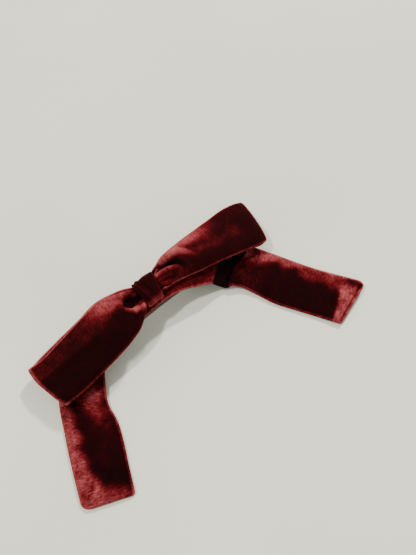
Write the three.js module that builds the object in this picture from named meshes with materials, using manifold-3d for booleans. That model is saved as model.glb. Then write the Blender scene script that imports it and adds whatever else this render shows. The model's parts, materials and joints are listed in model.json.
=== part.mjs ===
// A hair barrette: a hinged steel clip with a spring catch, which carries a bow of three velvet ribbons.
// Millimetres. +X runs along the bow, +Y points away from the tails, +Z is up from the surface below it.
import * as THREE from "three";
import { mergeVertices } from "three/addons/utils/BufferGeometryUtils.js";
import Module from "manifold-3d";

const wasm = await Module();
wasm.setup();

// ---------------------------------------------------------------- driving dimensions

const GAP = 0.2; // between pieces that touch
const ARC_STEPS = 33; // an odd number, so that each arched strip has a flat facet at its crown

const PLATE = { radius: 72, crownZ: 19.5, halfSpan: 40, width: 9.4, thick: 1.0, corner: 2.5 };
const ARM = { radius: 109.4, crownZ: 9.2, width: 5.6, thick: 1.0, endX: 43 };
const BAR = { radius: 54.7, width: 4.4, thick: 0.6, fromX: -34.5, toX: 20, rivetX: -31, corner: 1.9 };
const HINGE = { x: -38.5, z: 2.2, pinRadius: 0.9, holeRadius: 0.98, headRadius: 1.45, headThick: 0.5 };
const EAR = { inner: 3.6, outer: 4.4, radius: 2.2, reach: 2.3, topZ: 8.9 };
const KNUCKLE = { radius: 1.75, halfWidth: 3.3, wrap: 1.3 };
const EYE = { fromX: 30.6, toX: 38.4, halfWidth: 3.1, outerHalfWidth: 4.6, neckX: 22 };
const EYE_WINDOW = { fromX: 31.5, toX: 37.9, corner: 0.8 };
const SLOT = { fromX: -22, toX: 16, halfWidth: 1.1, corner: 0.8 };
const PRONG = { fromX: 32.2, toX: 36.7, inner: 1.7, outer: 2.4, topZ: 5.4, tipZ: 0.5, barb: 0.4 };
const SADDLE = { fromX: 31.4, toX: 37.6, footZ: 5.75, webDepth: 0.8, rivetX: 33.8 };
const RIVET = { shank: 0.8, hole: 1.05, head: 1.5, headThick: 0.5 };
const GLUE = { halfSpan: 26, width: 7, thick: 0.6, corner: 3 };
const CLIP_Y = -3.3; // the clip is sewn on nearer to the tails than the knot is

const RIBBON = { width: 30.5, thick: 2.0 }; // a sewn velvet tube, pressed flat
const BAND = { width: 15.5, thick: 1.3, halfDepth: 8.8, bottomZ: 23.2, topZ: 31.4, corner: 3 };
const WAIST = { thick: 1.6, width: 12, lowZ: 26.1, highZ: 28.1 }; // the loop ribbon where the band grips it
const THREAD = { radius: 0.25, turns: 4, pitch: 0.9, halfDepth: 7, lowZ: 24.75, highZ: 29.6 };

// ---------------------------------------------------------------- solids and meshes

// A closed three.js geometry as a manifold solid.
function solid(geometry) {
  const bare = geometry.index ? geometry.toNonIndexed() : geometry.clone();
  bare.deleteAttribute("normal");
  bare.deleteAttribute("uv");
  const merged = mergeVertices(bare, 1e-4);
  return new wasm.Manifold(
    new wasm.Mesh({
      numProp: 3,
      vertProperties: merged.attributes.position.array,
      triVerts: new Uint32Array(merged.index.array),
    }),
  );
}

// A manifold solid as a three.js geometry.
function geometryOf(made) {
  const mesh = made.getMesh();
  const geometry = new THREE.BufferGeometry();
  geometry.setAttribute("position", new THREE.BufferAttribute(mesh.vertProperties, 3));
  geometry.setIndex(new THREE.BufferAttribute(mesh.triVerts, 1));
  const flat = geometry.toNonIndexed();
  flat.computeVertexNormals();
  return flat;
}

// One named piece, with a material of its own in that finish.
function named(name, geometry, finish) {
  const mesh = new THREE.Mesh(geometry, new THREE.MeshStandardMaterial(finish));
  mesh.name = name;
  return mesh;
}

// A shape drawn in X and Z, extruded along Y from y0 to y1.
function acrossY(shape, y0, y1, curveSegments = 16) {
  const geometry = new THREE.ExtrudeGeometry(shape, { depth: y1 - y0, bevelEnabled: false, curveSegments });
  return geometry.rotateX(Math.PI / 2).translate(0, y1, 0);
}

// A shape drawn in X and Y, extruded along Z from z0 to z1.
function upZ(shape, z0, z1, curveSegments = 12) {
  const geometry = new THREE.ExtrudeGeometry(shape, { depth: z1 - z0, bevelEnabled: false, curveSegments });
  return geometry.translate(0, 0, z0);
}

// The outline of a strip of that thickness on an arc, from one x to another.
function arcBand(centreX, centreZ, radius, thick, fromX, toX) {
  const start = Math.acos((fromX - centreX) / radius);
  const end = Math.acos((toX - centreX) / radius);
  const points = [];
  for (const [r, a, b] of [
    [radius + thick / 2, start, end],
    [radius - thick / 2, end, start],
  ]) {
    for (let i = 0; i <= ARC_STEPS; i++) {
      const angle = a + ((b - a) * i) / ARC_STEPS;
      points.push(new THREE.Vector2(centreX + r * Math.cos(angle), centreZ + r * Math.sin(angle)));
    }
  }
  return new THREE.Shape(points);
}

// A rounded rectangle in the plane of its shape.
function roundedRectangle(x0, x1, y0, y1, r) {
  const shape = new THREE.Shape();
  shape.moveTo(x0 + r, y0);
  shape.lineTo(x1 - r, y0);
  shape.absarc(x1 - r, y0 + r, r, -Math.PI / 2, 0, false);
  shape.lineTo(x1, y1 - r);
  shape.absarc(x1 - r, y1 - r, r, 0, Math.PI / 2, false);
  shape.lineTo(x0 + r, y1);
  shape.absarc(x0 + r, y1 - r, r, Math.PI / 2, Math.PI, false);
  shape.lineTo(x0, y0 + r);
  shape.absarc(x0 + r, y0 + r, r, Math.PI, 1.5 * Math.PI, false);
  return shape;
}

// A cylinder along Y on the hinge's axis.
function hingeCylinder(radius, halfLength) {
  return new THREE.CylinderGeometry(radius, radius, 2 * halfLength, 24).translate(HINGE.x, 0, HINGE.z);
}

// The range of Y from near to far on one side of the middle, side being -1 or 1.
function yRange(side, near, far) {
  return side < 0 ? [-far, -near] : [near, far];
}

// ---------------------------------------------------------------- the clip

const CLIP_TOP = 30; // above the whole clip, for cuts that go right through it
const plateCentre = { x: 0, z: PLATE.crownZ - PLATE.radius };
const armCentre = { x: 0, z: ARM.crownZ - ARM.radius };
const plateTop = PLATE.radius + PLATE.thick / 2;
const plateUnder = PLATE.radius - PLATE.thick / 2;

// Places a geometry made along +Z so that it stands on the plate's arc at x, square to the plate.
function squareToPlate(geometry, x) {
  const lean = Math.asin(x / PLATE.radius);
  const out = geometry.translate(0, 0, PLATE.radius).rotateY(lean);
  return out.translate(0, 0, plateCentre.z);
}

function rivetHole(x) {
  const drillLength = 8;
  const drill = new THREE.CylinderGeometry(RIVET.hole, RIVET.hole, drillLength, 20).rotateX(Math.PI / 2);
  return solid(squareToPlate(drill, x));
}

function hingeHole() {
  return solid(hingeCylinder(HINGE.holeRadius, 6));
}

// A rivet whose heads lie above the plate and below what it holds, which is grip thick.
function rivet(x, grip) {
  const top = PLATE.thick / 2 + GAP / 2;
  const bottom = -PLATE.thick / 2 - GAP - grip - GAP / 2;
  const profile = [
    [0, bottom - RIVET.headThick],
    [RIVET.head * 0.7, bottom - RIVET.headThick],
    [RIVET.head, bottom - RIVET.headThick * 0.4],
    [RIVET.head, bottom],
    [RIVET.shank, bottom],
    [RIVET.shank, top],
    [RIVET.head, top],
    [RIVET.head, top + RIVET.headThick * 0.4],
    [RIVET.head * 0.7, top + RIVET.headThick],
    [0, top + RIVET.headThick],
  ].map(([r, z]) => new THREE.Vector2(r, z));
  return squareToPlate(new THREE.LatheGeometry(profile, 20).rotateX(Math.PI / 2), x);
}

// A strip on an arc about (centre.x, centre.z), trimmed in plan to a rectangle with round corners.
function arcStrip(centre, { radius, thick, width, corner }, fromX, toX) {
  const half = width / 2;
  const band = acrossY(arcBand(centre.x, centre.z, radius, thick, fromX, toX), -half, half);
  const outline = upZ(roundedRectangle(fromX, toX, -half, half, corner), 0, CLIP_TOP);
  return solid(band).intersect(solid(outline));
}

function basePlate() {
  let plate = arcStrip(plateCentre, PLATE, -PLATE.halfSpan, PLATE.halfSpan);
  // Two ears turned down from the edges, which hold the hinge pin.
  const ear = new THREE.Shape();
  ear.moveTo(HINGE.x - EAR.reach, HINGE.z);
  ear.absarc(HINGE.x, HINGE.z, EAR.radius, Math.PI, 2 * Math.PI, false);
  ear.lineTo(HINGE.x + EAR.reach + 1.2, EAR.topZ);
  ear.lineTo(HINGE.x - 0.9, EAR.topZ - 0.8);
  ear.lineTo(HINGE.x - EAR.reach * 0.9, EAR.topZ - 2.4);
  for (const side of [-1, 1]) {
    plate = plate.add(solid(acrossY(ear, ...yRange(side, EAR.inner, EAR.outer))));
  }
  plate = plate.subtract(hingeHole());
  plate = plate.subtract(rivetHole(BAR.rivetX)).subtract(rivetHole(SADDLE.rivetX));
  return geometryOf(plate);
}

function hingePin() {
  const inner = EAR.outer + GAP;
  const outer = inner + HINGE.headThick;
  const bevel = HINGE.headThick / 2;
  const profile = [
    [0, -outer],
    [HINGE.headRadius - bevel, -outer],
    [HINGE.headRadius, -outer + bevel],
    [HINGE.headRadius, -inner],
    [HINGE.pinRadius, -inner],
    [HINGE.pinRadius, inner],
    [HINGE.headRadius, inner],
    [HINGE.headRadius, outer - bevel],
    [HINGE.headRadius - bevel, outer],
    [0, outer],
  ].map(([r, y]) => new THREE.Vector2(r, y));
  return new THREE.LatheGeometry(profile, 24).translate(HINGE.x, 0, HINGE.z);
}

// In plan: the arm's root by the knuckle, a slim bar that widens into the eye, and a rounded finger tip.
function armPlan() {
  const wide = EYE.outerHalfWidth;
  const slim = ARM.width / 2;
  const root = KNUCKLE.halfWidth;
  const rootX = HINGE.x + KNUCKLE.wrap;
  const { fromX, toX, neckX } = EYE;
  const flareX = neckX + 4;
  const plan = new THREE.Shape();
  plan.moveTo(rootX, -root);
  plan.lineTo(HINGE.x + 3, -root);
  plan.quadraticCurveTo(HINGE.x + 7, -slim, HINGE.x + 12, -slim);
  plan.lineTo(neckX, -slim);
  plan.bezierCurveTo(flareX, -slim, flareX, -wide, fromX, -wide);
  plan.lineTo(toX, -wide);
  plan.bezierCurveTo(ARM.endX, -wide, ARM.endX, wide, toX, wide);
  plan.lineTo(fromX, wide);
  plan.bezierCurveTo(flareX, wide, flareX, slim, neckX, slim);
  plan.lineTo(HINGE.x + 12, slim);
  plan.quadraticCurveTo(HINGE.x + 7, slim, HINGE.x + 3, root);
  plan.lineTo(rootX, root);
  return plan;
}

// A cut through the whole height of the arm.
function throughArm(shape, curveSegments) {
  return solid(upZ(shape, -5, CLIP_TOP, curveSegments));
}

function claspArm() {
  const bandHalf = EYE.outerHalfWidth + 1;
  const band = arcBand(armCentre.x, armCentre.z, ARM.radius, ARM.thick, HINGE.x, ARM.endX);
  let arm = solid(acrossY(band, -bandHalf, bandHalf)).intersect(throughArm(armPlan()));
  arm = arm.add(solid(hingeCylinder(KNUCKLE.radius, KNUCKLE.halfWidth + 0.05)));
  arm = arm.subtract(hingeHole());
  const eye = roundedRectangle(
    EYE_WINDOW.fromX, EYE_WINDOW.toX, -EYE.halfWidth, EYE.halfWidth, EYE_WINDOW.corner,
  );
  // A long slot that lightens the bar and lets hair show through.
  const slot = roundedRectangle(SLOT.fromX, SLOT.toX, -SLOT.halfWidth, SLOT.halfWidth, SLOT.corner);
  return geometryOf(arm.subtract(throughArm(eye, 4)).subtract(throughArm(slot, 4)));
}

// The bar's arc lies inside the plate's and touches it at the rivet, apart from the gap.
const barLean = Math.asin(BAR.rivetX / plateUnder);
const barOffset = plateUnder - GAP - (BAR.radius + BAR.thick / 2);
const barCentre = { x: barOffset * Math.sin(barLean), z: plateCentre.z + barOffset * Math.cos(barLean) };

function tensionBar() {
  return geometryOf(arcStrip(barCentre, BAR, BAR.fromX, BAR.toX).subtract(rivetHole(BAR.rivetX)));
}

// The catch's bridge: a web under the plate with two cheeks, each of which a prong carries on.
function catchSaddle() {
  const top = plateUnder - GAP;
  const shape = new THREE.Shape();
  shape.moveTo(SADDLE.fromX, SADDLE.footZ);
  shape.lineTo(SADDLE.toX, SADDLE.footZ);
  const steps = 6;
  for (let i = 0; i <= steps; i++) {
    const x = SADDLE.toX + ((SADDLE.fromX - SADDLE.toX) * i) / steps;
    shape.lineTo(x, plateCentre.z + Math.sqrt(top * top - x * x));
  }
  let saddle = solid(acrossY(shape, -PRONG.outer, PRONG.outer));
  const hollow = new THREE.Shape();
  const inside = top - SADDLE.webDepth;
  hollow.moveTo(SADDLE.fromX - 2, 0);
  hollow.lineTo(SADDLE.toX + 2, 0);
  for (let i = 0; i <= steps; i++) {
    const x = SADDLE.toX + 2 + ((SADDLE.fromX - SADDLE.toX - 4) * i) / steps;
    hollow.lineTo(x, plateCentre.z + Math.sqrt(inside * inside - x * x));
  }
  saddle = saddle.subtract(solid(acrossY(hollow, -PRONG.inner, PRONG.inner)));
  return geometryOf(saddle.subtract(rivetHole(SADDLE.rivetX)));
}

// A prong with a round finger end and a barb on its outer face, under the arm.
function catchProng(side) {
  const r = (PRONG.toX - PRONG.fromX) / 2;
  const x = (PRONG.toX + PRONG.fromX) / 2;
  const tab = new THREE.Shape();
  tab.moveTo(PRONG.fromX, PRONG.tipZ + r);
  tab.absarc(x, PRONG.tipZ + r, r, Math.PI, 2 * Math.PI, false);
  tab.lineTo(PRONG.toX, PRONG.topZ);
  tab.lineTo(PRONG.fromX, PRONG.topZ);
  const barb = new THREE.Shape([
    new THREE.Vector2(x - 1.4, 2.3),
    new THREE.Vector2(x + 1.4, 2.1),
    new THREE.Vector2(x + 1.4, 2.7),
    new THREE.Vector2(x - 1.4, 2.9),
  ]);
  const prong = solid(acrossY(tab, ...yRange(side, PRONG.inner, PRONG.outer), 12));
  const rooted = PRONG.outer - 0.2; // the barb starts inside the prong, so that the two join
  const hook = solid(acrossY(barb, ...yRange(side, rooted, PRONG.outer + PRONG.barb)));
  return geometryOf(prong.add(hook));
}

function glueBed() {
  const radius = plateTop + GAP + GLUE.thick / 2;
  return geometryOf(arcStrip(plateCentre, { ...GLUE, radius }, -GLUE.halfSpan, GLUE.halfSpan));
}

// ---------------------------------------------------------------- the ribbons

// A ribbon as a box of length 1 whose vertices are carried to a path. place(t) gives the middle of the
// ribbon at t from 0 to 1, its direction, its width, its thickness and the direction across it.
function ribbon(steps, place) {
  const box = new THREE.BoxGeometry(1, 1, 1, steps, 2, 1);
  const position = box.getAttribute("position");
  const v = new THREE.Vector3();
  for (let i = 0; i < position.count; i++) {
    v.fromBufferAttribute(position, i);
    const at = place(v.x + 0.5);
    const normal = at.across.clone().cross(at.along).normalize().negate();
    const p = at.middle.clone();
    p.addScaledVector(at.across, v.y * at.width).addScaledVector(normal, v.z * at.thick);
    position.setXYZ(i, p.x, p.y, p.z);
  }
  return box;
}

// The tail ribbon's middle, from its crown on the plate out to each end, right and left.
const TAIL_REST = RIBBON.thick / 2; // where it lies flat
const TAIL_RIGHT = [
  [14, 0, 20.65],
  [26, -0.3, 17.4],
  [36, -1.0, 12.9],
  [44, -2.8, 8.4],
  [51, -6.2, 4.8],
  [58, -12, 2.2],
  [65, -23, TAIL_REST],
  [77, -47, TAIL_REST],
  [97.5, -83.6, TAIL_REST],
];
const TAIL_LEFT = [
  [-14, 0, 20.65],
  [-26, 0, 17.4],
  [-36, -0.6, 12.9],
  [-45, -2.2, 8.4],
  [-53, -5.0, 4.8],
  [-60, -10, 2.2],
  [-67, -20, TAIL_REST],
  [-83, -54, TAIL_REST],
  [-92.5, -75.5, TAIL_REST],
];
const TAIL_CROWN = [0, 0, plateCentre.z + plateTop + GAP + GLUE.thick + GAP + RIBBON.thick / 2];
const TAIL_WAIST = 16.5; // its width under the knot

function tailRibbon() {
  const points = [...TAIL_LEFT.slice().reverse(), TAIL_CROWN, ...TAIL_RIGHT];
  const path = new THREE.CatmullRomCurve3(points.map((p) => new THREE.Vector3(...p)), false, "centripetal");
  const up = new THREE.Vector3(0, 0, 1);
  return ribbon(96, (t) => {
    const middle = path.getPointAt(t);
    const along = path.getTangentAt(t);
    if (middle.z < TAIL_REST) {
      middle.z = TAIL_REST;
      along.z = 0;
    }
    const across = up.clone().cross(along).normalize();
    // Gathered to the band's depth at the middle, and full width once past the end of the plate.
    const spread = THREE.MathUtils.smoothstep(Math.abs(middle.x), 12, 48);
    const width = THREE.MathUtils.lerp(TAIL_WAIST, RIBBON.width, spread);
    return { middle, along, across, width, thick: RIBBON.thick };
  });
}

// The loop ribbon's middle in X and Z: along the lower layer, round the end and back over the top.
const LOOP_LOWER = [
  [8, 26.1],
  [16, 24.6],
  [28, 21.2],
  [42, 16.8],
  [58, 12.8],
  [74, 10.4],
];
const LOOP_UPPER = [
  [74, 17.4],
  [58, 21.4],
  [42, 25.6],
  [28, 28.6],
  [18, 29.4],
  [12, 28.8],
  [8, 28.1],
];
const LOOP_TURN = { z: 13.2, halfGap: 2.6 };
// How far each loop reaches, where it opens to the full width, how far it first rises away from the tails
// and how far it then droops towards them.
const LOOPS = {
  right: { sign: 1, reach: 84.5, fullWidthAt: 64, rise: 3, droop: 4 },
  left: { sign: -1, reach: 84, fullWidthAt: 27, rise: 0, droop: 4 },
};

// One loop's path from the waist round its end and back: the lower layer, the turn and the upper layer.
function loopPath({ sign, reach }) {
  const stretch = reach / 86;
  const at = ([x, z]) => new THREE.Vector3(sign * x * stretch, 0, z);
  const turn = [-70, 0, 70].map((degrees) => {
    const a = THREE.MathUtils.degToRad(degrees);
    const x = reach - RIBBON.thick / 2 - LOOP_TURN.halfGap * 1.3 * (1 - Math.cos(a));
    return new THREE.Vector3(sign * x, 0, LOOP_TURN.z + LOOP_TURN.halfGap * Math.sin(a));
  });
  return [...LOOP_LOWER.map(at), ...turn, ...LOOP_UPPER.map(at)];
}

function loopRibbon() {
  const points = [
    new THREE.Vector3(GAP, 0, WAIST.lowZ),
    ...loopPath(LOOPS.right),
    new THREE.Vector3(0, 0, WAIST.highZ),
    ...loopPath(LOOPS.left).reverse(),
    new THREE.Vector3(-GAP, 0, WAIST.lowZ),
  ];
  const path = new THREE.CatmullRomCurve3(points, false, "centripetal");
  const { lerp, smoothstep } = THREE.MathUtils;
  return ribbon(132, (t) => {
    const middle = path.getPointAt(t);
    const along = path.getTangentAt(t);
    const side = middle.x > 0 ? LOOPS.right : LOOPS.left;
    const away = Math.abs(middle.x);
    const width = lerp(WAIST.width, RIBBON.width, smoothstep(away, 6, side.fullWidthAt));
    const thick = lerp(WAIST.thick, RIBBON.thick, smoothstep(away, 9, 30));
    const drooped = side.droop * Math.max(0, (away - 8) / (side.reach - 8));
    middle.y = side.rise * smoothstep(away, 8, 26) - drooped;
    return { middle, along, across: new THREE.Vector3(0, 1, 0), width, thick };
  });
}

function knotBand() {
  const { halfDepth: y, bottomZ, topZ, thick, corner, width } = BAND;
  const ring = roundedRectangle(-y, y, bottomZ, topZ, corner);
  ring.holes.push(
    roundedRectangle(-y + thick, y - thick, bottomZ + thick - 0.1, topZ - thick, corner - thick),
  );
  const geometry = new THREE.ExtrudeGeometry(ring, { depth: width, bevelEnabled: false, curveSegments: 6 });
  // The shape's X and Y become the part's Y and Z, and its depth runs along X.
  geometry.applyMatrix4(
    new THREE.Matrix4().makeBasis(
      new THREE.Vector3(0, 1, 0),
      new THREE.Vector3(0, 0, 1),
      new THREE.Vector3(1, 0, 0),
    ),
  );
  return geometry.translate(-width / 2, 0, 0);
}

// A few turns of thread round the gathered waist, wound as one length.
function waistThread() {
  const points = [];
  const perTurn = 16;
  const midZ = (THREAD.lowZ + THREAD.highZ) / 2;
  const halfZ = (THREAD.highZ - THREAD.lowZ) / 2;
  for (let i = 0; i <= THREAD.turns * perTurn; i++) {
    const a = (2 * Math.PI * i) / perTurn;
    const [c, s] = [Math.cos(a), Math.sin(a)];
    // A superellipse, which follows the flat waist with round corners.
    const r = 1 / Math.pow(Math.pow(Math.abs(c), 8) + Math.pow(Math.abs(s), 8), 1 / 8);
    const x = (i / perTurn - THREAD.turns / 2) * THREAD.pitch;
    points.push(new THREE.Vector3(x, r * c * THREAD.halfDepth, midZ + r * s * halfZ));
  }
  const path = new THREE.CatmullRomCurve3(points, false, "centripetal");
  const section = new THREE.Shape();
  section.absarc(0, 0, THREAD.radius, 0, 2 * Math.PI, false);
  return new THREE.ExtrudeGeometry(section, {
    steps: THREAD.turns * 20,
    extrudePath: path,
    bevelEnabled: false,
    curveSegments: 3,
  });
}

// ---------------------------------------------------------------- finishes and assembly

const steel = { color: 0x8d8a83, roughness: 0.32, metalness: 1 };
const springSteel = { color: 0x77746e, roughness: 0.4, metalness: 1 };
const velvet = { color: 0x4a0c12, roughness: 0.95, metalness: 0 };
const thread = { color: 0x3a0a10, roughness: 0.8, metalness: 0 };
const glue = { color: 0xcfc4a4, roughness: 0.45, metalness: 0 };

const clip = new THREE.Group();
clip.add(
  named("base_plate", basePlate(), steel),
  named("hinge_pin", hingePin(), steel),
  named("clasp_arm", claspArm(), steel),
  named("tension_bar", tensionBar(), springSteel),
  named("tension_bar_rivet", rivet(BAR.rivetX, BAR.thick), steel),
  named("catch_saddle", catchSaddle(), springSteel),
  named("catch_prong_front", catchProng(-1), springSteel),
  named("catch_prong_rear", catchProng(1), springSteel),
  named("catch_rivet", rivet(SADDLE.rivetX, SADDLE.webDepth), steel),
  named("glue_bed", glueBed(), glue),
);
clip.position.y = CLIP_Y;

const bow = new THREE.Group();
bow.add(
  named("tail_ribbon", tailRibbon(), velvet),
  named("loop_ribbon", loopRibbon(), velvet),
  named("waist_thread", waistThread(), thread),
  named("knot_band", knotBand(), velvet),
);

// The part's origin is the middle of its footprint, on the surface that it lies on.
const assembly = new THREE.Group();
assembly.add(clip, bow);
const bounds = new THREE.Box3().setFromObject(assembly, true);
const centre = bounds.getCenter(new THREE.Vector3());
assembly.position.set(-centre.x, -centre.y, -bounds.min.z);

const barrette = new THREE.Group();
barrette.add(assembly);
export default barrette;
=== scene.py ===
"""A velvet bow barrette on a pale floor. Metres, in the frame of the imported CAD."""
import json
import math

import bpy
import numpy as np
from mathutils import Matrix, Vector


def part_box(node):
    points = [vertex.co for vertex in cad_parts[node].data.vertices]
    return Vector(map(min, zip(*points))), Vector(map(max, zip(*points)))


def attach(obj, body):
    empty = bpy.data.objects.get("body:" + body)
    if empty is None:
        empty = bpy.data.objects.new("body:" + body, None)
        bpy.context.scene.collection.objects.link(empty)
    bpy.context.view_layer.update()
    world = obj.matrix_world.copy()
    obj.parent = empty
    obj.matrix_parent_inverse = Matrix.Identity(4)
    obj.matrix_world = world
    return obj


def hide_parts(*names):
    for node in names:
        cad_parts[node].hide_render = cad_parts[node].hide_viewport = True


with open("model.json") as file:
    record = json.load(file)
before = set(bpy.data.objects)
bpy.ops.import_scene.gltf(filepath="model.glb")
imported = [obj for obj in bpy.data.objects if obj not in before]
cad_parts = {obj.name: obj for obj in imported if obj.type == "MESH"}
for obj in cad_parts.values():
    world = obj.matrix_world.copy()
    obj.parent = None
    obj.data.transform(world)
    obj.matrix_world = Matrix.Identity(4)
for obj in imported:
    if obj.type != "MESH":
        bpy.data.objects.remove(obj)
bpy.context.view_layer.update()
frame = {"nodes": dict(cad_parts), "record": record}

MM = 0.001
knot_low, knot_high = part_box("knot_band")
# the origin of the ribbons: the point on the floor below the middle of the knot
KNOT = np.array([(knot_low[0] + knot_high[0]) / 2, (knot_low[1] + knot_high[1]) / 2, 0.0])

# the ribbons, in mm
TAIL_HALF, KNOT_HALF = 1.25, 0.62  # half the thickness of the flattened tube
TAIL_ROWS, TAIL_COLUMNS = 620, 45
LOOP_ROWS, LOOP_COLUMNS = 400, 61
KNOT_ROWS, KNOT_COLUMNS = 141, 41

PLAIN_NAP = 0.10  # how far the pile is brushed where nothing has touched it


# ---------------------------------------------------------------- camera, floor and light


def look_from(target_mm, elevation, turn, distance_mm, fov):
    """A camera that looks at a point near the knot, from that elevation, turned from +Y towards +X."""
    e, phi = math.radians(elevation), math.radians(turn)
    forward = Vector((math.sin(phi) * math.cos(e), math.cos(phi) * math.cos(e), -math.sin(e)))
    target = Vector(KNOT) + Vector(target_mm) * MM
    data = bpy.data.cameras.new("camera")
    camera = bpy.data.objects.new("camera", data)
    data.sensor_fit = "VERTICAL"
    half_sensor = 18.0
    data.sensor_height = 2 * half_sensor
    data.lens = half_sensor / math.tan(math.radians(fov) / 2)
    data.clip_start, data.clip_end = 0.01, 20.0
    camera.location = target - forward * distance_mm * MM
    camera.rotation_mode = "QUATERNION"
    camera.rotation_quaternion = forward.to_track_quat("-Z", "Y")
    bpy.context.scene.collection.objects.link(camera)
    bpy.context.scene.camera = camera


def area_light(name, place, aim, size, power, colour):
    """A square soft lamp of that size in metres."""
    data = bpy.data.lights.new(name, "AREA")
    data.shape, data.size, data.size_y = "RECTANGLE", size, size
    data.energy, data.color = power, colour
    lamp = bpy.data.objects.new(name, data)
    lamp.location = place
    lamp.rotation_mode = "QUATERNION"
    lamp.rotation_quaternion = (Vector(aim) - Vector(place)).to_track_quat("-Z", "Y")
    bpy.context.scene.collection.objects.link(lamp)


def lamps():
    """One lamp high over the left and one lower to the right: two shadows fall in front of the bow."""
    aim = Vector(KNOT) + Vector((0.03, -0.03, 0.01))
    high, low = Vector((-0.50, 0.25, 1.40)), Vector((1.12, 0.47, 1.28))
    area_light("high_lamp", aim + high, aim, size=0.10, power=16.0, colour=(1.0, 0.97, 0.93))
    area_light("low_lamp", aim + low, aim, size=0.14, power=32.0, colour=(1.0, 0.985, 0.95))


def surround(colour, strength):
    world = bpy.data.worlds.new("studio")
    bpy.context.scene.world = world
    world.use_nodes = True
    background = world.node_tree.nodes["Background"]
    background.inputs["Color"].default_value = (*colour, 1.0)
    background.inputs["Strength"].default_value = strength


def mesh_object(name, points, faces, smooth=True):
    mesh = bpy.data.meshes.new(name)
    mesh.from_pydata([tuple(p) for p in points], [], [tuple(f) for f in faces])
    mesh.update()
    if smooth:
        mesh.polygons.foreach_set("use_smooth", [True] * len(mesh.polygons))
    obj = bpy.data.objects.new(name, mesh)
    bpy.context.scene.collection.objects.link(obj)
    return obj


def floor():
    """Pale card, just under the part so that no faces coincide."""
    r, z = 3.0, -0.0002
    corners = [(-r, -r, z), (r, -r, z), (r, r, z), (-r, r, z)]
    obj = mesh_object("floor", corners, [(0, 1, 2, 3)], smooth=False)
    material, nodes, links, shader = new_material("floor_card")
    noise = node(nodes, "ShaderNodeTexNoise", Scale=4.0, Detail=2.0)
    links.new(node_coordinates(nodes).outputs["Object"], noise.inputs["Vector"])
    ramp = colour_ramp(nodes, [(0.3, (0.61, 0.618, 0.51)), (0.7, (0.71, 0.719, 0.60))])
    links.new(noise.outputs["Fac"], ramp.inputs["Fac"])
    links.new(ramp.outputs["Color"], shader.inputs["Base Color"])
    shader.inputs["Roughness"].default_value = 0.85
    obj.data.materials.append(material)


# ---------------------------------------------------------------- materials


def new_material(name):
    material = bpy.data.materials.new(name)
    material.use_nodes = True
    nodes, links = material.node_tree.nodes, material.node_tree.links
    return material, nodes, links, nodes["Principled BSDF"]


def node(nodes, kind, **values):
    made = nodes.new(kind)
    for socket, value in values.items():
        made.inputs[socket.replace("_", " ")].default_value = value
    return made


def node_coordinates(nodes):
    found = [n for n in nodes if n.bl_idname == "ShaderNodeTexCoord"]
    return found[0] if found else nodes.new("ShaderNodeTexCoord")


def colour_ramp(nodes, stops):
    ramp = nodes.new("ShaderNodeValToRGB")
    elements = ramp.color_ramp.elements
    while len(elements) < len(stops):
        elements.new(0.5)
    for element, (position, colour) in zip(elements, stops):
        element.position = position
        element.color = (*colour, 1.0)
    return ramp


def maths(nodes, links, operation, a, b, clamp=False):
    """A maths node on two sockets or numbers, and its output."""
    made = nodes.new("ShaderNodeMath")
    made.operation, made.use_clamp = operation, clamp
    for slot, value in enumerate((a, b)):
        if isinstance(value, (int, float)):
            made.inputs[slot].default_value = value
        else:
            links.new(value, made.inputs[slot])
    return made.outputs[0]


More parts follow.
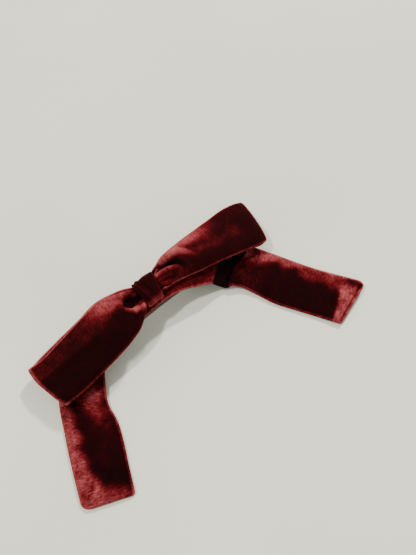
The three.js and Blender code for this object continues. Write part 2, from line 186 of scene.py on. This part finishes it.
def velvet(name, mottle):
    """Short silk pile: nearly black face on, wine red at a slant, where a sheen is painted into the colour
    by the angle of view, and dusty rose where it is brushed and where a sheen is painted.

    It reads two attributes of each point: nap, from below 0 (black) to 0.9 (rose), which holds the brushing
    of the pile together with painted sheen, painted highlights and painted shade, and weave, which is
    the place in mm along and across the ribbon and on which side of it. Mottle is how patchy it is."""
    material, nodes, links, shader = new_material(name)
    weave = nodes.new("ShaderNodeAttribute")
    weave.attribute_name = "weave"
    streaked = nodes.new("ShaderNodeVectorMath")
    streaked.operation = "MULTIPLY"
    streaked.inputs[1].default_value = (1.5, 0.55, 1.0)
    links.new(weave.outputs["Vector"], streaked.inputs[0])

    def noise(place, scale, detail, amount):
        made = node(nodes, "ShaderNodeTexNoise", Scale=scale, Detail=detail, Roughness=0.6)
        links.new(place, made.inputs["Vector"])
        centred = maths(nodes, links, "SUBTRACT", made.outputs["Fac"], 0.5)
        return maths(nodes, links, "MULTIPLY", centred, amount)

    nap_and_light = nodes.new("ShaderNodeAttribute")
    nap_and_light.attribute_name = "nap_and_light"
    broad = noise(weave.outputs["Vector"], 0.13, 3.0, 1.3 * mottle)
    tufts = noise(streaked.outputs["Vector"], 0.62, 3.0, 1.2 * mottle)
    pile = noise(weave.outputs["Vector"], 2.4, 2.0, 0.85)
    uneven = maths(nodes, links, "ADD", maths(nodes, links, "ADD", broad, tufts), pile)
    # brushed pile, and the sheen painted with it, is the most uneven
    amount = maths(nodes, links, "ADD", maths(nodes, links, "MULTIPLY", nap_and_light.outputs["Fac"], 1.3), 0.25)
    patches = maths(nodes, links, "MULTIPLY", uneven, amount)
    pile_and_painted_light = maths(nodes, links, "ADD", nap_and_light.outputs["Fac"], patches)
    # a sheen painted into the colour: lighter where the surface is seen at a slant
    slant = node(nodes, "ShaderNodeLayerWeight", Blend=0.32)
    rim_sheen = maths(nodes, links, "MULTIPLY", slant.outputs["Facing"], 0.42)
    pile_and_painted_light = maths(nodes, links, "ADD", pile_and_painted_light, rim_sheen, clamp=True)
    stops = [
        (0.0, (0.003, 0.0001, 0.0002)),
        (0.25, (0.014, 0.0003, 0.0007)),
        (0.5, (0.080, 0.0028, 0.0048)),
        (0.75, (0.185, 0.029, 0.032)),
        (1.0, (0.29, 0.064, 0.067)),
    ]
    ramp = colour_ramp(nodes, stops)
    links.new(pile_and_painted_light, ramp.inputs["Fac"])
    links.new(ramp.outputs["Color"], shader.inputs["Base Color"])
    shader.inputs["Roughness"].default_value = 0.9
    shader.inputs["Specular IOR Level"].default_value = 0.04
    shader.inputs["Sheen Weight"].default_value = 0.10
    shader.inputs["Sheen Roughness"].default_value = 0.32
    shader.inputs["Sheen Tint"].default_value = (1.0, 0.22, 0.22, 1.0)
    fuzz = node(nodes, "ShaderNodeTexNoise", Scale=1.9, Detail=2.0)
    links.new(weave.outputs["Vector"], fuzz.inputs["Vector"])
    bump = node(nodes, "ShaderNodeBump", Strength=0.35, Distance=0.0003)
    links.new(fuzz.outputs["Fac"], bump.inputs["Height"])
    links.new(bump.outputs["Normal"], shader.inputs["Normal"])
    return material


def plated_steel(name, tone):
    """Nickel plate with a brushed grain along the clip and faint handling marks."""
    material, nodes, links, shader = new_material(name)
    place = node_coordinates(nodes).outputs["Object"]
    stretch = nodes.new("ShaderNodeMapping")
    stretch.inputs["Scale"].default_value = (60.0, 2600.0, 2600.0)
    links.new(place, stretch.inputs["Vector"])
    grain = node(nodes, "ShaderNodeTexNoise", Scale=1.0, Detail=3.0)
    links.new(stretch.outputs["Vector"], grain.inputs["Vector"])
    marks = node(nodes, "ShaderNodeTexNoise", Scale=240.0, Detail=4.0)
    links.new(place, marks.inputs["Vector"])
    ramp = colour_ramp(nodes, [(0.3, tuple(0.75 * c for c in tone)), (0.7, tone)])
    links.new(marks.outputs["Fac"], ramp.inputs["Fac"])
    links.new(ramp.outputs["Color"], shader.inputs["Base Color"])
    rough = nodes.new("ShaderNodeMapRange")
    rough.inputs["To Min"].default_value, rough.inputs["To Max"].default_value = 0.22, 0.42
    links.new(grain.outputs["Fac"], rough.inputs["Value"])
    links.new(rough.outputs["Result"], shader.inputs["Roughness"])
    shader.inputs["Metallic"].default_value = 1.0
    bump = node(nodes, "ShaderNodeBump", Strength=0.12, Distance=0.0001)
    links.new(grain.outputs["Fac"], bump.inputs["Height"])
    links.new(bump.outputs["Normal"], shader.inputs["Normal"])
    return material


def speckled(name, low, high, roughness, scale, bump_strength):
    """A small matt or waxy piece whose colour varies softly."""
    material, nodes, links, shader = new_material(name)
    noise = node(nodes, "ShaderNodeTexNoise", Scale=scale, Detail=3.0)
    links.new(node_coordinates(nodes).outputs["Object"], noise.inputs["Vector"])
    ramp = colour_ramp(nodes, [(0.35, low), (0.65, high)])
    links.new(noise.outputs["Fac"], ramp.inputs["Fac"])
    links.new(ramp.outputs["Color"], shader.inputs["Base Color"])
    shader.inputs["Roughness"].default_value = roughness
    bump = node(nodes, "ShaderNodeBump", Strength=bump_strength, Distance=0.0002)
    links.new(noise.outputs["Fac"], bump.inputs["Height"])
    links.new(bump.outputs["Normal"], shader.inputs["Normal"])
    return material


# ---------------------------------------------------------------- ribbon surfaces


def smoothstep(x, low, high):
    """0 up to low, 1 from high, and a smooth rise between."""
    t = np.clip((np.asarray(x, float) - low) / (high - low), 0.0, 1.0)
    return t * t * (3 - 2 * t)


def bell(x, centre, width):
    """1 at the centre, falling to about a third at that width from it."""
    return np.exp(-(((x - centre) / width) ** 2))


def distance_along(points):
    """How far each point of a line is from its first, along the line."""
    steps = np.linalg.norm(np.diff(points, axis=0), axis=1)
    return np.concatenate([[0.0], np.cumsum(steps)])


def spline(stations, count):
    """Smooth values through the stations, spaced by the distance between their first three columns."""
    p = np.array(stations, float)
    knots = distance_along(p[:, :3])
    slopes = np.zeros_like(p)
    step = np.diff(knots)[:, None]
    rise = np.diff(p, axis=0) / step
    slopes[1:-1] = (rise[:-1] * step[1:] + rise[1:] * step[:-1]) / (step[1:] + step[:-1])
    slopes[0], slopes[-1] = rise[0], rise[-1]
    at = np.linspace(0.0, knots[-1], count)
    i = np.clip(np.searchsorted(knots, at, side="right") - 1, 0, len(knots) - 2)
    h = (knots[i + 1] - knots[i])[:, None]
    t = ((at - knots[i]) / (knots[i + 1] - knots[i]))[:, None]
    h00, h10 = 2 * t**3 - 3 * t**2 + 1, t**3 - 2 * t**2 + t
    h01, h11 = -2 * t**3 + 3 * t**2, t**3 - t**2
    return h00 * p[i] + h10 * h * slopes[i] + h01 * p[i + 1] + h11 * h * slopes[i + 1]


def across(count):
    """Positions from -1 to 1 across a ribbon, closer together towards its edges."""
    return np.sin(np.linspace(-math.pi / 2, math.pi / 2, count))


def outward_of(line):
    """Unit vectors to the outer side of a line in a plane, which is on the right of its direction."""
    direction = np.gradient(line, axis=0)
    direction /= np.linalg.norm(direction, axis=1, keepdims=True)
    return np.stack([direction[:, 1], -direction[:, 0]], 1)


def surface_normals(grid):
    along = np.gradient(grid, axis=0)
    over = np.gradient(grid, axis=1)
    normal = np.cross(along, over)
    return normal / np.maximum(np.linalg.norm(normal, axis=2, keepdims=True), 1e-9)


def ribbon_object(name, middle, u, half, nap_and_light):
    """A sewn tube pressed flat: two faces either side of a middle surface, which meet in rounded edges.

    middle is a grid of points in mm round the knot, u their places across it from -1 to 1, half its half
    thickness and nap its brushing, together with the sheen, highlights and shade painted on it."""
    rows, columns = middle.shape[:2]
    run = distance_along(middle[:, columns // 2])
    # the thickness falls to nothing at the edges, and over the last stretch at either end
    end_length = 1.6
    to_end = np.clip(np.minimum(run, run[-1] - run) / end_length, 0, 1)
    edge = np.sqrt(np.clip(1 - np.abs(u) ** 8, 0, 1))[None, :]
    depth = half * edge * np.sqrt(np.clip(1 - (1 - to_end) ** 4, 0, 1))[:, None]
    offset = surface_normals(middle) * depth[..., None]
    width = np.linalg.norm(middle[:, -1] - middle[:, 0], axis=1)
    side_step = 40.0  # keeps the pattern of one face away from the other's
    points, shade, weave = [], [], []
    index = np.zeros((2, rows, columns), int)
    for side, layer in enumerate((middle + offset, middle - offset)):
        for i in range(rows):
            for j in range(columns):
                on_border = j in (0, columns - 1) or i in (0, rows - 1)
                if side == 1 and on_border:
                    index[1, i, j] = index[0, i, j]
                    continue
                index[side, i, j] = len(points)
                points.append(KNOT + layer[i, j] * MM)
                shade.append(nap_and_light[i, j])
                weave.append((run[i], 0.5 * u[j] * width[i], side_step * side))
    faces = []
    for i in range(rows - 1):
        for j in range(columns - 1):
            corners = ((i, j), (i + 1, j), (i + 1, j + 1), (i, j + 1))
            faces.append([index[0, r, c] for r, c in corners])
            faces.append([index[1, r, c] for r, c in reversed(corners)])
    obj = mesh_object(name, points, faces)
    values = obj.data.attributes.new("nap_and_light", "FLOAT", "POINT")
    values.data.foreach_set("value", np.array(shade, np.float32))
    values = obj.data.attributes.new("weave", "FLOAT_VECTOR", "POINT")
    values.data.foreach_set("vector", np.array(weave, np.float32).ravel())
    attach(obj, "clip_and_bow")
    return obj


def ripple(grid, seed, size):
    """Slow unevenness of hand-sewn cloth, in mm, from a few waves with set directions."""
    rng = np.random.default_rng(seed)
    x, y = grid[..., 0], grid[..., 1]
    total = np.zeros_like(x)
    waves = 7
    for _ in range(waves):
        angle, length, shift = rng.uniform(0, math.pi), rng.uniform(9, 26), rng.uniform(0, 6.28)
        total += np.sin((x * math.cos(angle) + y * math.sin(angle)) * 2 * math.pi / length + shift)
    return total / waves * size


def rim_sheen(u, strength=0.52, front=0.7):
    """A painted highlight along a folded edge, where the pile stands out and catches the light; weaker on
    the front edge.
    """
    return strength * np.where(u < 0, front, 1.0)[None, :] * smoothstep(np.abs(u), 0.905, 0.975)[None, :]


# ---- the two tails: one strip that crosses the clip, from the left end to the right
# front edge x, y, z; back edge x, y, z; crown height
TAIL = [
    (-79.6, -83.2, 1.5, -108.2, -70.8, 1.5, 0.4),
    (-72.8, -68.6, 1.5, -102.8, -57.8, 1.6, 0.9),
    (-66.4, -55.6, 1.5, -96.9, -44.0, 1.6, 1.2),
    (-61.5, -43.3, 1.6, -90.4, -30.0, 1.6, 1.4),
    (-59.1, -31.3, 2.2, -81.6, -12.0, 2.0, 1.6),
    (-53.2, -21.5, 4.6, -70.5, 3.0, 3.2, 1.6),
    (-47.0, -14.0, 7.8, -56.0, 9.0, 6.6, 1.2),
    (-39.0, -11.5, 11.4, -43.0, 10.5, 10.6, 0.8),
    (-30.0, -10.3, 15.6, -31.0, 10.0, 15.2, 0.5),
    (-19.0, -9.0, 19.3, -19.0, 9.0, 19.1, 0.3),
    (-9.0, -9.4, 21.4, -9.0, 8.2, 21.4, 0.2),
    (0.0, -9.3, 22.0, 0.0, 8.0, 22.0, 0.1),
    (9.0, -9.5, 21.4, 9.0, 8.2, 21.4, 0.2),
    (18.7, -11.1, 19.5, 19.0, 9.2, 19.2, 0.4),
    (26.4, -13.8, 17.2, 29.0, 9.4, 16.2, 0.8),
    (31.9, -15.8, 15.2, 45.0, 6.0, 12.4, 1.4),
    (34.8, -16.9, 13.9, 57.5, -0.5, 10.2, 1.5),
    (35.6, -17.0, 12.8, 64.0, -7.0, 8.6, 0.8),
    (39.9, -19.6, 6.6, 67.0, -7.2, 5.2, -0.4),
    (44.0, -22.4, 3.2, 69.0, -6.4, 3.2, -0.3),
    (46.0, -23.5, 5.2, 71.4, -7.4, 4.2, 0.9),
    (49.8, -26.7, 3.8, 75.2, -10.4, 3.0, 1.3),
    (55.0, -36.8, 1.8, 82.2, -21.8, 1.9, 1.4),
    (59.0, -47.7, 1.5, 88.4, -33.8, 1.6, 1.3),
    (68.1, -63.9, 1.5, 96.5, -49.1, 1.6, 1.1),
    (75.1, -75.9, 1.7, 103.8, -61.4, 2.2, 0.8),
    (81.4, -87.4, 2.6, 113.4, -78.1, 4.6, 0.4),
]


def round_corner(inset_from, inset_to, distance, radius):
    """Moves one edge in towards the other over the last stretch, so that the corner is sewn round."""
    reach = np.clip(radius - distance, 0, radius)
    inset = radius - np.sqrt(np.maximum(radius**2 - reach**2, 0))
    inward = inset_to - inset_from
    return inset_from + inward / np.linalg.norm(inward, axis=1, keepdims=True) * inset[:, None]


def tails():
    table = spline(TAIL, TAIL_ROWS)
    u = across(TAIL_COLUMNS)
    front, back, crown = table[:, 0:3], table[:, 3:6], table[:, 6]
    run = distance_along((front + back) / 2)
    to_end = np.minimum(run, run[-1] - run)
    back_radius, front_radius = 5.2, 1.8
    round_back = round_corner(back, front, to_end, back_radius)
    round_front = round_corner(front, back, to_end, front_radius)
    share = ((u + 1) / 2)[None, :, None]
    middle = round_front[:, None] * (1 - share) + round_back[:, None] * share
    middle[..., 2] += crown[:, None] * (1 - u[None, :] ** 2)
    middle[..., 2] += ripple(middle, 3, 0.35) * (1 - u[None, :] ** 4)
    lowest = 1.45
    middle[..., 2] = np.maximum(middle[..., 2], lowest)
    # a sewn line just inside each end
    half = TAIL_HALF - 0.55 * bell(to_end, 2.6, 0.6)[:, None]
    obj = ribbon_object("tails", middle, u, half, tail_nap_and_light(middle, u, run, round_front[:, 0]))
    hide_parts("tail_ribbon")
    return obj


def tail_nap_and_light(grid, u, run, front_x):
    """Brushing of the tails, with painted sheen, painted highlights and painted shade. run is the distance
    from the left end, and front_x the x of the front edge.
    """
    x = grid[..., 0]
    out = np.broadcast_to(u[None, :], x.shape)  # 1 at the back edge, the outer side of each tail
    to_left, to_right = run[:, None], run[-1] - run[:, None]
    front_x = front_x[:, None]
    nap_and_light = np.full(x.shape, PLAIN_NAP) + rim_sheen(1.03 * u)
    # left tail: a band down the outer side that widens into the end, and a patch by the fold, each brushed
    # pile with painted sheen on it
    left = smoothstep(-x, 40, 56)
    wander = 0.06 * np.sin(to_left / 5.3) + 0.05 * np.sin(to_left / 2.1 + 1.0)
    start = 0.30 - 0.36 * (1 - smoothstep(to_left, 8, 40))
    nap_and_light += left * 0.56 * smoothstep(out + wander, start, start + 0.42)
    end_band = 1 - smoothstep(to_left + 8 * wander - (9.8 + 4.4 * out), -3.8, 3.8)
    nap_and_light += 0.46 * end_band * (1 - smoothstep(out, 0.0, 0.5) * 0.9)
    nap_and_light += 0.07 * bell(to_left, 34, 16) * bell(out, -0.4, 0.5)
    nap_and_light += left * 0.58 * bell(to_left, 63, 15) * bell(out + wander, -0.42, 0.5)
    nap_and_light -= left * 0.10 * bell(to_left, 76, 8) * bell(out, 0.35, 0.3)
    nap_and_light -= 0.08 * (1 - smoothstep(to_left, 10, 26))
    # right tail: a narrower, broken band on the outer side and a patch across the end, each brushed pile
    # with painted sheen on it
    right = smoothstep(x, 46, 60)
    breaks = 0.20 * bell(to_right, 55, 4) + 0.15 * bell(to_right, 44, 4) + 0.05 * np.sin(to_right / 2.9)
    start = 0.14 + 0.12 * bell(to_right, 48, 9) - 0.06 * smoothstep(to_right, 56, 64)
    fade = 1 - 0.34 * (1 - smoothstep(to_right, 32, 50)) * smoothstep(to_right, 9, 17)
    nap_and_light += right * 0.56 * smoothstep(out - breaks, start, start + 0.50) * fade
    end_patch = 1 - smoothstep(to_right - (10.8 + 3.2 * out), -2.4, 1.6)
    nap_and_light += 0.62 * end_patch * (1 - smoothstep(out, 0.20, 0.80))
    nap_and_light -= 0.40 * bell(to_right, 1.9, 0.6)
    nap_and_light += 0.24 * (1 - smoothstep(to_right, 0.2, 1.0))
    nap_and_light += right * 0.15 * smoothstep(to_right, 54, 66) * (1 - smoothstep(out, 0.3, 0.8))
    # painted shadow of the right loop's end on the tail, on its back half
    nap_and_light -= right * 0.30 * bell(to_right, 69, 4.5) * smoothstep(out, 0.2, 0.6)
    nap_and_light -= 0.42 * bell(to_right, 6, 6) * smoothstep(out, 0.35, 0.75)
    # the middle over the clip, lighter near its front by the knot with painted light, a painted highlight
    # on the ridge where it folds, and painted shade in the dark pocket behind the ridge
    inside_rim = out < 0.9
    nap_and_light += 0.27 * (1 - smoothstep(-x, 22, 32)) * (1 - smoothstep(front_x, 33, 36)) * inside_rim
    nap_and_light += 0.08 * bell(front_x, 0, 12) * (1 - smoothstep(out, -0.8, -0.4))
    nap_and_light += 0.30 * bell(front_x, 34.6, 0.5)
    pocket_shade = smoothstep(front_x, 34.8, 35.8) * (1 - smoothstep(front_x, 44.0, 45.0))
    return np.clip(nap_and_light, 0.0, 0.70) * (1 - pocket_shade) - 0.8 * pocket_shade


# ---- the two loops: one ring pinched at the knot, which runs out along the bottom of the right loop,
# back over its top, and round the left loop from its top to its bottom
# x and z of the layer; front edge y; back edge y; crown height (outwards), half the thickness
RIGHT_LOOP = [
    (0.0, 25.9, -5.6, 5.6, 0.0, 0.75),
    (7.0, 25.6, -5.6, 6.0, 0.0, 0.8),
    (16.0, 23.8, -4.8, 11.0, 0.4, 1.0),
    (28.0, 20.4, -5.4, 14.0, 0.6, 1.2),
    (42.0, 16.6, -7.4, 15.0, 0.5, 1.25),
    (58.0, 13.4, -10.0, 15.2, 0.3, 1.25),
    (74.0, 11.4, -13.6, 15.6, 0.0, 1.25),
    (82.8, 10.9, -16.7, 15.0, 0.0, 1.25),
    (85.8, 12.9, -17.0, 14.6, 0.0, 1.25),
    (82.8, 15.1, -17.9, 15.2, 0.1, 1.25),
    (74.0, 17.0, -16.4, 16.8, 0.9, 1.25),
    (58.0, 20.2, -13.4, 16.2, 2.0, 1.25),
    (45.0, 22.6, -11.2, 15.4, 3.2, 1.25),
    (34.0, 24.0, -9.6, 14.8, 4.6, 1.25),
    (24.0, 24.9, -7.2, 13.9, 5.0, 1.2),
    (16.0, 26.2, -6.0, 11.7, 3.4, 1.1),
    (10.0, 27.6, -5.6, 9.8, 1.2, 0.9),
    (6.0, 28.2, -5.4, 7.0, 0.3, 0.8),
    (0.0, 28.2, -5.4, 6.0, 0.0, 0.75),
]
LEFT_LOOP = [
    (0.0, 28.2, -5.4, 6.0, 0.0, 0.75),
    (-6.0, 28.2, -6.6, 7.5, 0.3, 0.8),
    (-11.0, 27.2, -10.2, 10.7, 1.6, 0.95),
    (-18.0, 25.8, -14.9, 13.6, 3.4, 1.1),
    (-27.0, 24.8, -17.7, 15.5, 4.0, 1.25),
    (-37.0, 22.8, -19.1, 14.8, 3.6, 1.25),
    (-49.0, 20.4, -19.8, 13.6, 2.4, 1.25),
    (-63.0, 17.6, -20.4, 12.2, 1.5, 1.25),
    (-74.0, 15.6, -20.4, 11.4, 0.8, 1.25),
    (-80.6, 14.6, -19.8, 12.3, 0.2, 1.25),
    (-82.1, 12.4, -19.4, 13.0, 0.0, 1.25),
    (-80.2, 10.4, -19.0, 13.8, 0.0, 1.25),
    (-73.0, 10.4, -18.2, 15.1, 0.2, 1.25),
    (-58.0, 12.8, -17.2, 16.4, 0.4, 1.25),
    (-42.0, 16.6, -15.2, 17.1, 0.6, 1.25),
    (-28.0, 20.4, -12.0, 17.8, 0.6, 1.2),
    (-16.0, 23.8, -8.0, 13.5, 0.4, 1.0),
    (-7.0, 25.6, -5.8, 6.0, 0.0, 0.8),
    (0.0, 25.9, -5.6, 5.6, 0.0, 0.75),
]
# by the sign of x: how far each loop's end leans out at its back corner and in at its front corner,
# and how far both corners are drawn in
LOOP_LEAN = {1: (3.15, 1.0), -1: (2.5, 1.4)}
# places on the left loop near the knot, in x and y
DIMPLE, DIMPLE_LIP, NICK = (-14.2, 1.1), (-11.0, 0.5), (-7.0, -0.8)


def apart(x, y, place, size_x=1.0, size_y=1.0):
    """Distance from a place, in units of those sizes."""
    return np.hypot((x - place[0]) / size_x, (y - place[1]) / size_y)


def dimple_distance(x, y):
    return apart(x, y, DIMPLE, 4.1, 4.0)


def dimple_rim(x, y):
    """The rolled lip round the lower side of the dimple, which ends at the knot."""
    return bell(apart(x, y, DIMPLE_LIP), 6.7, 1.5) * smoothstep(0.8 - y, -1.0, 3.0)


def left_crease(x):
    """The y of the line where the left loop's top breaks into two faces."""
    return -2.5 - 0.08 * (x + 40)


def right_valley(x):
    """The y of the bottom of the right loop's valley."""
    return 7.8 - 0.026 * np.maximum(x - 10.5, 0) ** 2


def right_crest(x):
    """The y of the ridge behind that valley."""
    return 10.2 - 0.05 * np.maximum(x - 21, 0) ** 2


def loop_folds(x, y):
    """Height of the gathers that run out from the knot over the top layer, in mm."""
    # left: a short round dimple with a rolled lip, and a nick beside the knot
    fold = -8.5 * np.exp(-(dimple_distance(x, y) ** 4)) + 1.6 * dimple_rim(x, y)
    fold -= 3.0 * np.exp(-(apart(x, y, NICK, 1.9, 1.8) ** 4))
    # left: the top layer breaks along its length into an upper and a lower face
    fold += 1.1 * bell(y, left_crease(x), 3.6) * smoothstep(-x, 26, 40) * (1 - smoothstep(-x, 66, 80))
    # right: a valley that starts at the knot, and the ridges either side of it
    axis, crest = right_valley(x), right_crest(x)
    reach = smoothstep(x, 6.0, 10.0) * (1 - smoothstep(x, 17, 27))
    fold += -7.5 * reach * bell(y, axis, 2.3 + 0.06 * np.maximum(x - 9, 0))
    fold += 1.7 * smoothstep(x, 7, 11) * (1 - smoothstep(x, 17, 24)) * bell(y, axis - 4.6, 1.5)
    fold += 2.6 * smoothstep(x, 12, 19) * (1 - smoothstep(x, 29, 36)) * bell(y, crest, 2.3)
    # gathers that fan out from both sides of the knot
    fold += 0.45 * gathers(x, y)
    return fold


def gathers(x, y):
    """Fine creases, from -1 to 1, that spread as they leave the knot and die out."""
    away = np.abs(x) - 6.0
    spread = y / (1 + 0.10 * np.maximum(away, 0))
    near = smoothstep(away, 0.0, 2.5) * (1 - smoothstep(away, 6, 16))
    lower = 1 - smoothstep(spread, -0.5, 1.5) * (x > 0)
    return near * lower * np.sin(spread * 2.5 + 0.12 * away + np.where(x > 0, 0.6, 2.2))


def loop_rows(stations):
    """Rows of x, z, middle y, front y, back y, crown and half thickness, evenly along the middle."""
    return spline([(x, z, 0.5 * (f + b), f, b, c, h) for x, z, f, b, c, h in stations], LOOP_ROWS)


def loops():
    u = across(LOOP_COLUMNS)
    table = np.vstack([loop_rows(RIGHT_LOOP), loop_rows(LEFT_LOOP)[1:]])
    x, z, _, front, back, crown, half = (column[:, None] for column in table.T)
    share = ((u + 1) / 2)[None, :]
    middle = np.zeros((len(table), len(u), 3))
    middle[..., 0] = x
    middle[..., 1] = front * (1 - share) + back * share
    out = outward_of(table[:, 0:2])
    near_end = smoothstep(np.abs(x), 25, 80)
    for sign, (lean, bow) in LOOP_LEAN.items():
        shift = lean * u[None, :] - bow * u[None, :] ** 2
        middle[..., 0] += np.where(x * sign > 0, sign * near_end * shift, 0.0)
    bulge = crown * (1 - np.abs(u[None, :]) ** 2.2)
    top = smoothstep(out[:, 1], 0.2, 0.9)[:, None] * smoothstep(np.abs(x), 5, 9)
    middle[..., 2] = z
    lift = bulge + top * loop_folds(middle[..., 0], middle[..., 1])
    lift += ripple(middle, 8, 0.45) * smoothstep(np.abs(x), 9, 24) * (1 - u[None, :] ** 4)
    middle[..., 0] += out[:, 0][:, None] * lift
    middle[..., 2] += out[:, 1][:, None] * lift
    # the two ends of the strip meet under the knot, with a gap of twice this between them
    gap = 0.15
    middle[0, :, 0] += gap
    middle[-1, :, 0] -= gap
    turn = smoothstep(np.abs(out[:, 0]), 0.45, 0.85)[:, None]
    obj = ribbon_object("loops", middle, u, half, loop_nap_and_light(middle, u, top, turn))
    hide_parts("loop_ribbon")
    return obj


def loop_nap_and_light(grid, u, top, turn):
    """Brushing of the loops, with painted sheen, painted highlights and painted shade. top is 1 on the
    upper layer, and turn is 1 where a loop turns at its end.
    """
    x, y = grid[..., 0], grid[..., 1]
    out = np.broadcast_to(u[None, :], x.shape)
    # painted highlights along the edges and over the turn at each loop's end, and along the back edge of
    # the lower layer
    nap_and_light = np.full(x.shape, PLAIN_NAP) + rim_sheen(u) + 0.46 * turn
    nap_and_light += (1 - top) * (1 - turn) * 0.30 * smoothstep(out, 0.7, 0.85)
    # left: painted sheen behind the dimple, an upper face painted paler where it turns to the light, a
    # painted highlight on the lip, and painted shade in the dimple and the nick
    left = (x < 0) * top
    upper_face = smoothstep(y - left_crease(x), -0.8, 0.9)
    nap_and_light += left * 0.60 * bell(x, -22.5, 13.0) * smoothstep(out, -0.08, 0.5)
    nap_and_light += left * 0.10 * upper_face * smoothstep(-x, 24, 36)
    nap_and_light += left * 0.08 * upper_face * smoothstep(-x, 66, 78)
    nap_and_light += left * (0.72 * dimple_rim(x, y) - 1.3 * np.exp(-((dimple_distance(x, y) / 1.08) ** 6)))
    nap_and_light -= left * 0.9 * np.exp(-(apart(x, y, NICK, 2.2, 2.0) ** 4))
    # right: painted sheen along the back, soft patches, painted shade in the valley and painted highlights
    # on the ridges either side of it
    right = (x > 0) * top
    axis, crest = right_valley(x), right_crest(x)
    nap_and_light += right * 0.58 * smoothstep(out, 0.10, 0.70) * smoothstep(x, 6, 16) * (1 - smoothstep(x, 36, 68))
    nap_and_light += right * (0.15 * bell(x, 44, 15) * bell(out, 0.0, 0.4) + 0.04 * bell(x, 44, 22))
    nap_and_light += right * 0.16 * bell(x, 68, 6) * bell(out, -0.05, 0.28)
    nap_and_light += right * 0.05 * smoothstep(out, 0.2, 0.7) * smoothstep(x, 50, 66)
    nap_and_light += right * 0.15 * (1 - smoothstep(x, 20, 40))
    nap_and_light -= right * 1.1 * bell(y, axis, 2.2 + 0.05 * np.maximum(x - 9, 0)) * (1 - smoothstep(x, 21, 29))
    nap_and_light += right * 0.36 * bell(y, axis - 4.2, 1.1) * (1 - smoothstep(x, 19, 26))
    # painted light and shade on the gathers: lighter on their crests, darker in their hollows
    nap_and_light += top * 0.12 * gathers(x, y)
    nap_and_light += right * 0.40 * bell(y, crest, 1.7) * smoothstep(x, 14, 20) * (1 - smoothstep(x, 30, 38))
    streak = 11.0 - 0.31 * np.abs(x - 22)
    nap_and_light -= right * 0.09 * bell(y, streak, 2.2) * smoothstep(x, 9, 16) * (1 - smoothstep(x, 44, 60))
    return np.clip(nap_and_light, -0.6, 0.9)


# ---- the knot: a pleated band wrapped round the pinched middle


def knot_ring():
    """Angles round the knot from below it, and y and z there on a rounded square, flatter below."""
    radius, centre_y, centre_z, rise, fall = 8.1, 0.2, 27.2, 4.4, 2.9
    square = 2.9  # 2 is an ellipse, and more is squarer
    first = 0.4  # shifts the points round, so that none is at the very bottom
    turns = KNOT_ROWS - 1
    angles = -math.pi / 2 + 2 * math.pi * (np.arange(KNOT_ROWS) + first) / turns
    c, s = np.cos(angles), np.sin(angles)
    r = (np.abs(c) ** square + np.abs(s) ** square) ** (-1 / square)
    y = centre_y + r * c * radius
    z = centre_z + r * s * np.where(s > 0, rise, fall)
    return angles, np.stack([y, z], 1)


def knot():
    """A ring round X, a little slanted, which is narrower at the front of the knot than at its back."""
    u = across(KNOT_COLUMNS)
    angles, ring = knot_ring()
    y, z = ring[:, 0][:, None], ring[:, 1][:, None]
    top = smoothstep(np.sin(angles), -0.5, 0.3)[:, None]
    half_width = 5.4 + 2.0 * smoothstep(y, -8, 8)
    middle = np.zeros((len(ring), len(u), 3))
    middle[..., 0] = u[None, :] * half_width + 0.12 * y - 0.1
    # two creases that lean across the wrap, with soft rolls beside them
    slant = u[None, :] + 0.030 * y
    pleat = 0.9 * bell(slant, -0.78, 0.20) - 1.7 * bell(slant, -0.50, 0.06)
    pleat += 1.0 * bell(slant, -0.32, 0.14) - 0.7 * bell(slant, -0.14, 0.05) + 0.6 * bell(slant, 0.42, 0.4)
    out = outward_of(ring)
    lift = pleat * top * 0.8
    middle[..., 1] = y + out[:, 0][:, None] * lift
    middle[..., 2] = z + out[:, 1][:, None] * lift
    # painted highlights on the edges and along a pleat's crease, and a painted sheen where the band turns
    # under at the front
    nap_and_light = PLAIN_NAP + rim_sheen(u, 0.12, 1.0) + 0.20 * bell(slant, -0.40, 0.06)
    nap_and_light += 0.05 * smoothstep(slant, -0.1, 0.1) + 0.36 * smoothstep(-y, 5.2, 7.6)
    obj = ribbon_object("knot", middle, u, KNOT_HALF, nap_and_light)
    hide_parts("knot_band")
    return obj


# ---------------------------------------------------------------- the clip


def clip_finishes():
    """Gives the hard pieces of the CAD their materials, by slot."""
    finishes = {
        "steel": plated_steel("nickel_plate", (0.34, 0.33, 0.29)),
        "spring_steel": plated_steel("spring_strip", (0.28, 0.27, 0.24)),
        "glue": speckled("hot_glue", (0.50, 0.44, 0.30), (0.64, 0.58, 0.43), 0.4, 300.0, 0.4),
        "thread": speckled("thread_twist", (0.03, 0.003, 0.005), (0.07, 0.008, 0.012), 0.8, 3000.0, 0.6),
    }
    for row in frame["record"]["subparts"]:
        finish = finishes.get(row["material_slot"])
        if finish is not None:
            target = frame["nodes"][row["node"]]
            target.data.materials.clear()
            target.data.materials.append(finish)


# ---------------------------------------------------------------- make everything

look_from(target_mm=(40.27, -7.61, 0.0), elevation=66.0, turn=41.0, distance_mm=456.5, fov=43.0)
floor()
surround(colour=(1.0, 0.995, 0.965), strength=0.86)

tail_piece = tails()
loop_piece = loops()
knot_piece = knot()
tail_piece.data.materials.append(velvet("velvet_tails", mottle=0.66))
loop_piece.data.materials.append(velvet("velvet_loops", mottle=0.5))
knot_piece.data.materials.append(velvet("velvet_knot", mottle=0.3))

clip_finishes()
lamps()
